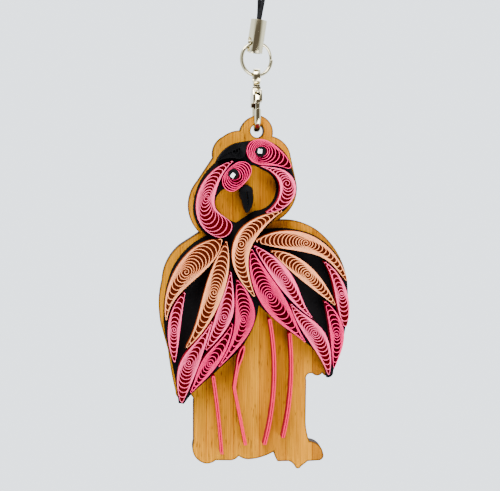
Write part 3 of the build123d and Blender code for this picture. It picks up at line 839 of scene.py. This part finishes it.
# %% Legs
# Middle line of the second leg from the foot up, in mm from the hanging hole, and its half gap
OPEN_LEG = [
    (-2.4, -66.2, 0.17),
    (-3.6, -60.0, 0.17),
    (-4.65, -54.6, 0.17),
    (-4.68, -53.4, 0.17),
    (-4.05, -49.7, 0.2),
    (-3.6, -47.9, 0.4),
    (-3.1, -46.25, 0.38),
    (-2.8, -45.4, 0.12),
]
OPEN_LEG_NUMBER = 2
FOLDED_THICKNESS = 0.3 * MM
# In the photo all legs stand a little higher and further left than their CAD nodes
LEG_MOVE = Vector((-0.25, 0, 0.5)) * MM
# The leg's flat sides, too, get the dye darkened by painted shade and a painted glow
leg_paper = paper("deep pink strip, folded", "#DC0044", "#D0003E", "#80001C", "#900014")


def folded_leg(name, line, low_y, high_y):
    """A strip that goes up one side of a line and comes down the other side."""
    line = np.array(line)
    ways = np.gradient(line[:, :2], axis=0)
    aside = np.column_stack([-ways[:, 1], ways[:, 0]]) / np.linalg.norm(ways, axis=1)[:, None]
    sides = [line[:, :2] + side * line[:, 2:] * aside for side in (1, -1)]
    path = (rounded(np.vstack([sides[0], sides[1][::-1]])) + hole_mm) * MM
    rows = np.zeros((2, len(path), 3))
    rows[:, :, 0] = path[:, 0]
    rows[:, :, 2] = path[:, 1]
    rows[0, :, 1] = low_y
    rows[1, :, 1] = high_y
    return ribbon(name, rows, FOLDED_THICKNESS)


for number in (1, 2, 3, 4):
    node, name = f"leg_{number}", f"folded_strip_leg_{number}"
    if number == OPEN_LEG_NUMBER:
        low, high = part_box(node)
        leg = folded_leg(name, OPEN_LEG, low.y, high.y)
    else:
        leg = joined_copy(node, name)
        bpy.ops.object.shade_smooth_by_angle(angle=SMOOTH_ANGLE)
    leg.data.transform(Matrix.Translation(LEG_MOVE))
    mark_cut_edge(leg)
    dress(leg, leg_paper)
    stand_for(leg, node)
    print(leg.name, "faces", len(leg.data.polygons))

# %% [markdown]
# ## Card
#
# The card behind the birds is smooth black board, which hardly shines. A few pale specks are dust
# and fibre.

# %% Card
SPECK = 0.5 * MM
card_material, card_shader = new_material("black card")
card_place = add(card_material, "ShaderNodeTexCoord").outputs["Object"]
specks = add(
    card_material,
    "ShaderNodeTexNoise",
    inputs={"Vector": card_place, "Scale": 1 / SPECK, "Detail": 5},
).outputs["Fac"]
card_tone = add(
    card_material,
    "ShaderNodeValToRGB",
    inputs={"Fac": specks},
    stops=[(0.62, "#060608"), (0.8, "#242428")],
)
wire(card_material, card_tone.outputs["Color"], card_shader.inputs["Base Color"])
set_numbers(card_shader, {"Roughness": 0.75, "Specular IOR Level": 0.1})
dress(frame["nodes"]["card_backing"], card_material)
print("card dressed")

# %% [markdown]
# ## Bamboo plate
#
# Laminated bamboo is glued from strips 5 to 6 mm wide, which differ in tone, and its fibres run
# along them with short dark streaks. It is oiled and not varnished, so it is matt. The laser
# burns the cut: the sides are dark brown, and so is a hairline round the outline. The plate is a
# joined copy of its CAD node too. An inset makes a narrow border on both faces, and the attribute
# "burn" is 1 on the sides and fades to 0 across that border.

# %% Burnt border of the plate
BURNT_BORDER = 0.35 * MM
PLATE_SMOOTH_ANGLE = math.radians(30)

plate = joined_copy("bamboo_plate", "laser_cut_plate")
bpy.ops.object.mode_set(mode="EDIT")
bpy.ops.mesh.select_mode(type="FACE")
bpy.ops.object.mode_set(mode="OBJECT")
for face in plate.data.polygons:
    face.select = abs(face.normal.y) > FACES_FRONT
bpy.ops.object.mode_set(mode="EDIT")
bpy.ops.mesh.inset(thickness=BURNT_BORDER, depth=0, use_boundary=True, use_even_offset=True)
bpy.ops.object.mode_set(mode="OBJECT")
unburnt = {n for face in plate.data.polygons if face.select for n in face.vertices}
burnt_corners = [float(n not in unburnt) for n in range(len(plate.data.vertices))]
plate.data.attributes.new("burn", "FLOAT", "POINT").data.foreach_set("value", burnt_corners)
bpy.ops.object.shade_smooth_by_angle(angle=PLATE_SMOOTH_ANGLE)
print("plate faces", len(plate.data.polygons), "burnt vertices", round(sum(burnt_corners)))

# %% Patterns of the bamboo
STRIP_WIDTH = 5.6 * MM
# The glue joints waver by this share of a strip's width, and the first lies this share aside
STRIP_WAVER = 0.125
STRIP_START = 0.125
WAVER_WIDTH = 8 * MM
WAVER_LENGTH = 40 * MM
FIBRE_WIDTH = 0.22 * MM
FIBRE_LENGTH = 9 * MM
CLOUD_WIDTH = 3 * MM
CLOUD_LENGTH = 14 * MM
STREAK_WIDTH = 0.35 * MM
STREAK_LENGTH = 2.5 * MM
GRAIN_DEPTH = 0.03 * MM
BURN_SPREAD = 0.9

bamboo, bamboo_shader = new_material("laminated bamboo, laser cut")
plate_place = add(bamboo, "ShaderNodeTexCoord").outputs["Object"]
across = add(bamboo, "ShaderNodeSeparateXYZ", inputs={"Vector": plate_place}).outputs["X"]


def along_grain(width, length, detail, roughness=0.6):
    """Noise that is stretched along the grain, which runs up the plate."""
    stretched = add(
        bamboo,
        "ShaderNodeMapping",
        inputs={"Vector": plate_place, "Scale": (1 / width, 1 / width, 1 / length)},
    ).outputs[0]
    settings = {"Vector": stretched, "Scale": 1, "Detail": detail, "Roughness": roughness}
    return add(bamboo, "ShaderNodeTexNoise", inputs=settings).outputs["Fac"]


strip_place = add(
    bamboo,
    "ShaderNodeMath",
    {"operation": "MULTIPLY_ADD"},
    {0: across, 1: 1 / STRIP_WIDTH, 2: STRIP_START},
).outputs[0]
strip_place = add(
    bamboo,
    "ShaderNodeMath",
    {"operation": "MULTIPLY_ADD"},
    {0: along_grain(WAVER_WIDTH, WAVER_LENGTH, 1), 1: STRIP_WAVER, 2: strip_place},
).outputs[0]
strip_number, joint_place = (
    add(bamboo, "ShaderNodeMath", {"operation": operation}, {0: strip_place}).outputs[0]
    for operation in ("FLOOR", "FRACT")
)
strip_tone = add(
    bamboo, "ShaderNodeTexWhiteNoise", {"noise_dimensions": "1D"}, {"W": strip_number}
).outputs["Value"]

# %% Laminated bamboo
# Each ramp gets the pattern that it colours and its stops. The first four are strips, the dark
# glue joints between them, fibres, and broad clouds of tone. The last marks the short streaks
ramps = [
    add(bamboo, "ShaderNodeValToRGB", inputs={"Fac": pattern}, stops=stops)
    for pattern, stops in (
        (
            strip_tone,
            [
                (0.0, "#D89200"),
                (0.3, "#B67A00"),
                (0.5, "#CE8600"),
                (0.7, "#C08400"),
                (0.88, "#B27000"),
            ],
        ),
        (joint_place, [(0.0, "#B88C60"), (0.04, "#FFFFFF")]),
        (along_grain(FIBRE_WIDTH, FIBRE_LENGTH, 3), [(0.3, "#988C78"), (0.7, "#FFFFFF")]),
        (along_grain(CLOUD_WIDTH, CLOUD_LENGTH, 2), [(0.35, "#E8D4B4"), (0.7, "#FFFFFF")]),
        (along_grain(STREAK_WIDTH, STREAK_LENGTH, 2, 0.5), [(0.62, BLACK), (0.74, "#FFFFFF")]),
    )
]
ramps[0].color_ramp.interpolation = "CONSTANT"
wood, joint_lines, fibres, clouds, streaks = (made.outputs["Color"] for made in ramps)
burnt = add(bamboo, "ShaderNodeAttribute", {"attribute_name": "burn"}).outputs["Fac"]
burnt = add(
    bamboo, "ShaderNodeMath", {"operation": "POWER"}, {0: burnt, 1: BURN_SPREAD}
).outputs[0]
# Each layer's blend, its strength or mask, and its colour
for blend, factor, layer in (
    ("MULTIPLY", 1.0, joint_lines),
    ("MULTIPLY", 0.7, fibres),
    ("MULTIPLY", 0.5, clouds),
    ("MIX", streaks, tint("#6A3C0C")),
    ("MIX", burnt, tint("#1C0C05")),
):
    wood = add(
        bamboo,
        "ShaderNodeMix",
        {"data_type": "RGBA", "blend_type": blend},
        {"Factor": factor, "A": wood, "B": layer},
    ).outputs["Result"]
wire(bamboo, wood, bamboo_shader.inputs["Base Color"])
grain = along_grain(FIBRE_WIDTH, FIBRE_LENGTH, 3)
bamboo_bump = add(
    bamboo,
    "ShaderNodeBump",
    inputs={"Height": grain, "Distance": GRAIN_DEPTH, "Strength": 0.4},
)
wire(bamboo, bamboo_bump.outputs[0], bamboo_shader.inputs["Normal"])
set_numbers(bamboo_shader, {"Roughness": 0.6, "Specular IOR Level": 0.05})
dress(plate, bamboo)
stand_for(plate, "bamboo_plate")
print("bamboo nodes", len(bamboo.node_tree.nodes))

# %% [markdown]
# ## Metal parts
#
# The end cap, the split ring and the clasp are plated with nickel, which is bright and a little
# warm, and they are tumbled, so their edges are soft. The spring is bare steel and duller. The cap
# and the clasp are joined copies of their CAD nodes with a small bevel on every sharp edge. The
# split ring is a springy wire that makes two turns side by side and crosses from one to the other
# over a sixth of its way, so it is wound here as a ribbon as thick as the wire and rounded.

# %% Nickel and steel
METALS = {
    "bright nickel plating": ("#C2B896", 0.13),
    "spring steel": ("#8E8C88", 0.3),
}
metals = {}
for name, (code, roughness) in METALS.items():
    metals[name], metal_shader = new_material(name)
    set_numbers(metal_shader, {"Base Color": tint(code), "Metallic": 1, "Roughness": roughness})
plating = metals["bright nickel plating"]
dress(frame["nodes"]["lever_spring"], metals["spring steel"])
dress(frame["nodes"]["lever_pin"], plating)
print("metals", sorted(metals))

# %% Tumbled edges
SHARP_ANGLE = math.radians(35)
# Name, body and edge radius
METAL_PARTS = {
    "cord_cap": ("end_cap", "root", 0.1 * MM),
    "clasp_body": ("cast_clasp_body", "clasp", 0.14 * MM),
    "clasp_lever": ("cast_clasp_lever", "lever", 0.1 * MM),
}


def soften(piece, radius, segments=2):
    """Bevels every sharp edge of the active piece."""
    bevel = piece.modifiers.new("tumbled edges", "BEVEL")
    bevel.width = radius
    bevel.segments = segments
    bevel.limit_method = "ANGLE"
    bevel.angle_limit = SHARP_ANGLE
    bpy.ops.object.modifier_apply(modifier=bevel.name)
    bpy.ops.object.shade_smooth_by_angle(angle=SMOOTH_ANGLE)


for node, (name, body, radius) in METAL_PARTS.items():
    piece = joined_copy(node, name)
    soften(piece, radius)
    dress(piece, plating)
    stand_for(piece, node, body)
    print(name, "faces", len(piece.data.polygons))

# %% Split ring
RING_WIRE_RADIAL = 0.6 * MM
RING_TURN_HEIGHT = 0.42 * MM
RING_TURN_PITCH = 0.45 * MM
RING_EDGE_RADIUS = 0.19 * MM
RING_EDGE_SEGMENTS = 3
RING_TURN_ANGLE = math.radians(20)
RING_CROSSING = math.radians(55)
RING_STEPS = 160

ring_low, ring_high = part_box("split_ring")
ring_middle = np.array((ring_low + ring_high) / 2)
ring_radius = (ring_high.z - ring_low.z - RING_WIRE_RADIAL) / 2
sideways = np.array([math.cos(RING_TURN_ANGLE), math.sin(RING_TURN_ANGLE), 0])
axis = np.array([math.sin(RING_TURN_ANGLE), -math.cos(RING_TURN_ANGLE), 0])
wound = np.linspace(RING_CROSSING - 2 * math.pi, 2 * math.pi, RING_STEPS)
across_share = np.clip(wound / RING_CROSSING, 0, 1)
shift = (across_share**2 * (3 - 2 * across_share) - 0.5) * RING_TURN_PITCH
round_ring = np.outer(np.cos(wound), sideways) + np.outer(np.sin(wound), (0, 0, 1))
rows = np.array(
    [
        ring_middle + ring_radius * round_ring + np.outer(shift + side * RING_TURN_HEIGHT / 2, axis)
        for side in (-1, 1)
    ]
)
ring = ribbon("two_turn_ring", rows, RING_WIRE_RADIAL)
soften(ring, RING_EDGE_RADIUS, RING_EDGE_SEGMENTS)
dress(ring, plating)
stand_for(ring, "split_ring", "ring")
print("ring turns", round((wound[-1] - wound[0]) / (2 * math.pi), 2))

# %% [markdown]
# ## Floor and light
#
# The background is a bright, even blue-grey, and a pale round table top lies below. The light is
# soft: one large lamp from above the camera, a weaker one from below and one from behind. The
# surroundings get darker behind the camera, which gives the metal its dark middle stripes.

# %% Floor
FLOOR_BELOW = 32 * MM
FLOOR_RADIUS = 85 * MM
FLOOR_SIDES = 96
bpy.ops.object.select_all(action="DESELECT")
bpy.ops.mesh.primitive_circle_add(
    vertices=FLOOR_SIDES,
    radius=FLOOR_RADIUS,
    fill_type="NGON",
    location=(hole_x, 0, plate_low.z - FLOOR_BELOW),
)
floor = bpy.context.object
floor.name = "floor"
floor_material, floor_shader = new_material("matt pale table top")
set_numbers(floor_shader, {"Base Color": tint("#E3E8EE"), "Roughness": 0.9})
dress(floor, floor_material)
print("floor radius mm", round(FLOOR_RADIUS / MM))

# %% Studio light
SKY = "#E4ECF4"
SKY_STRENGTH = 2.9
BEHIND_CAMERA = "#4C4844"
# Place, size and power of each lamp
LAMPS = {
    "key": ((-0.15, -0.45, 0.75), 0.6, 32),
    "fill": ((0.3, -0.45, -0.5), 0.5, 9),
    "back": ((0.2, 0.5, 0.3), 0.4, 3),
}
world = bpy.data.worlds.new("studio")
bpy.context.scene.world = world
world.use_nodes = True
background = world.node_tree.nodes["Background"]
background.inputs["Strength"].default_value = SKY_STRENGTH
direction = add(world, "ShaderNodeTexCoord").outputs["Generated"]
towards_back = add(world, "ShaderNodeSeparateXYZ", inputs={"Vector": direction}).outputs["Y"]
share = add(
    world,
    "ShaderNodeMapRange",
    inputs={"Value": towards_back, "From Min": -1, "From Max": 1},
).outputs[0]
surroundings = add(
    world,
    "ShaderNodeValToRGB",
    inputs={"Fac": share},
    stops=[(0.08, BEHIND_CAMERA), (0.4, SKY)],
)
wire(world, surroundings.outputs["Color"], background.inputs["Color"])

# Each lamp is a square that faces the middle of the picture
for name, (place, size, power) in LAMPS.items():
    bpy.ops.object.light_add(type="AREA", location=place)
    light = bpy.context.object
    light.name = name
    light.data.shape = "SQUARE"
    light.data.size = size
    light.data.energy = power
    light.rotation_euler = (target - Vector(place)).to_track_quat("-Z", "Y").to_euler()
    print(name, "light, power", power)
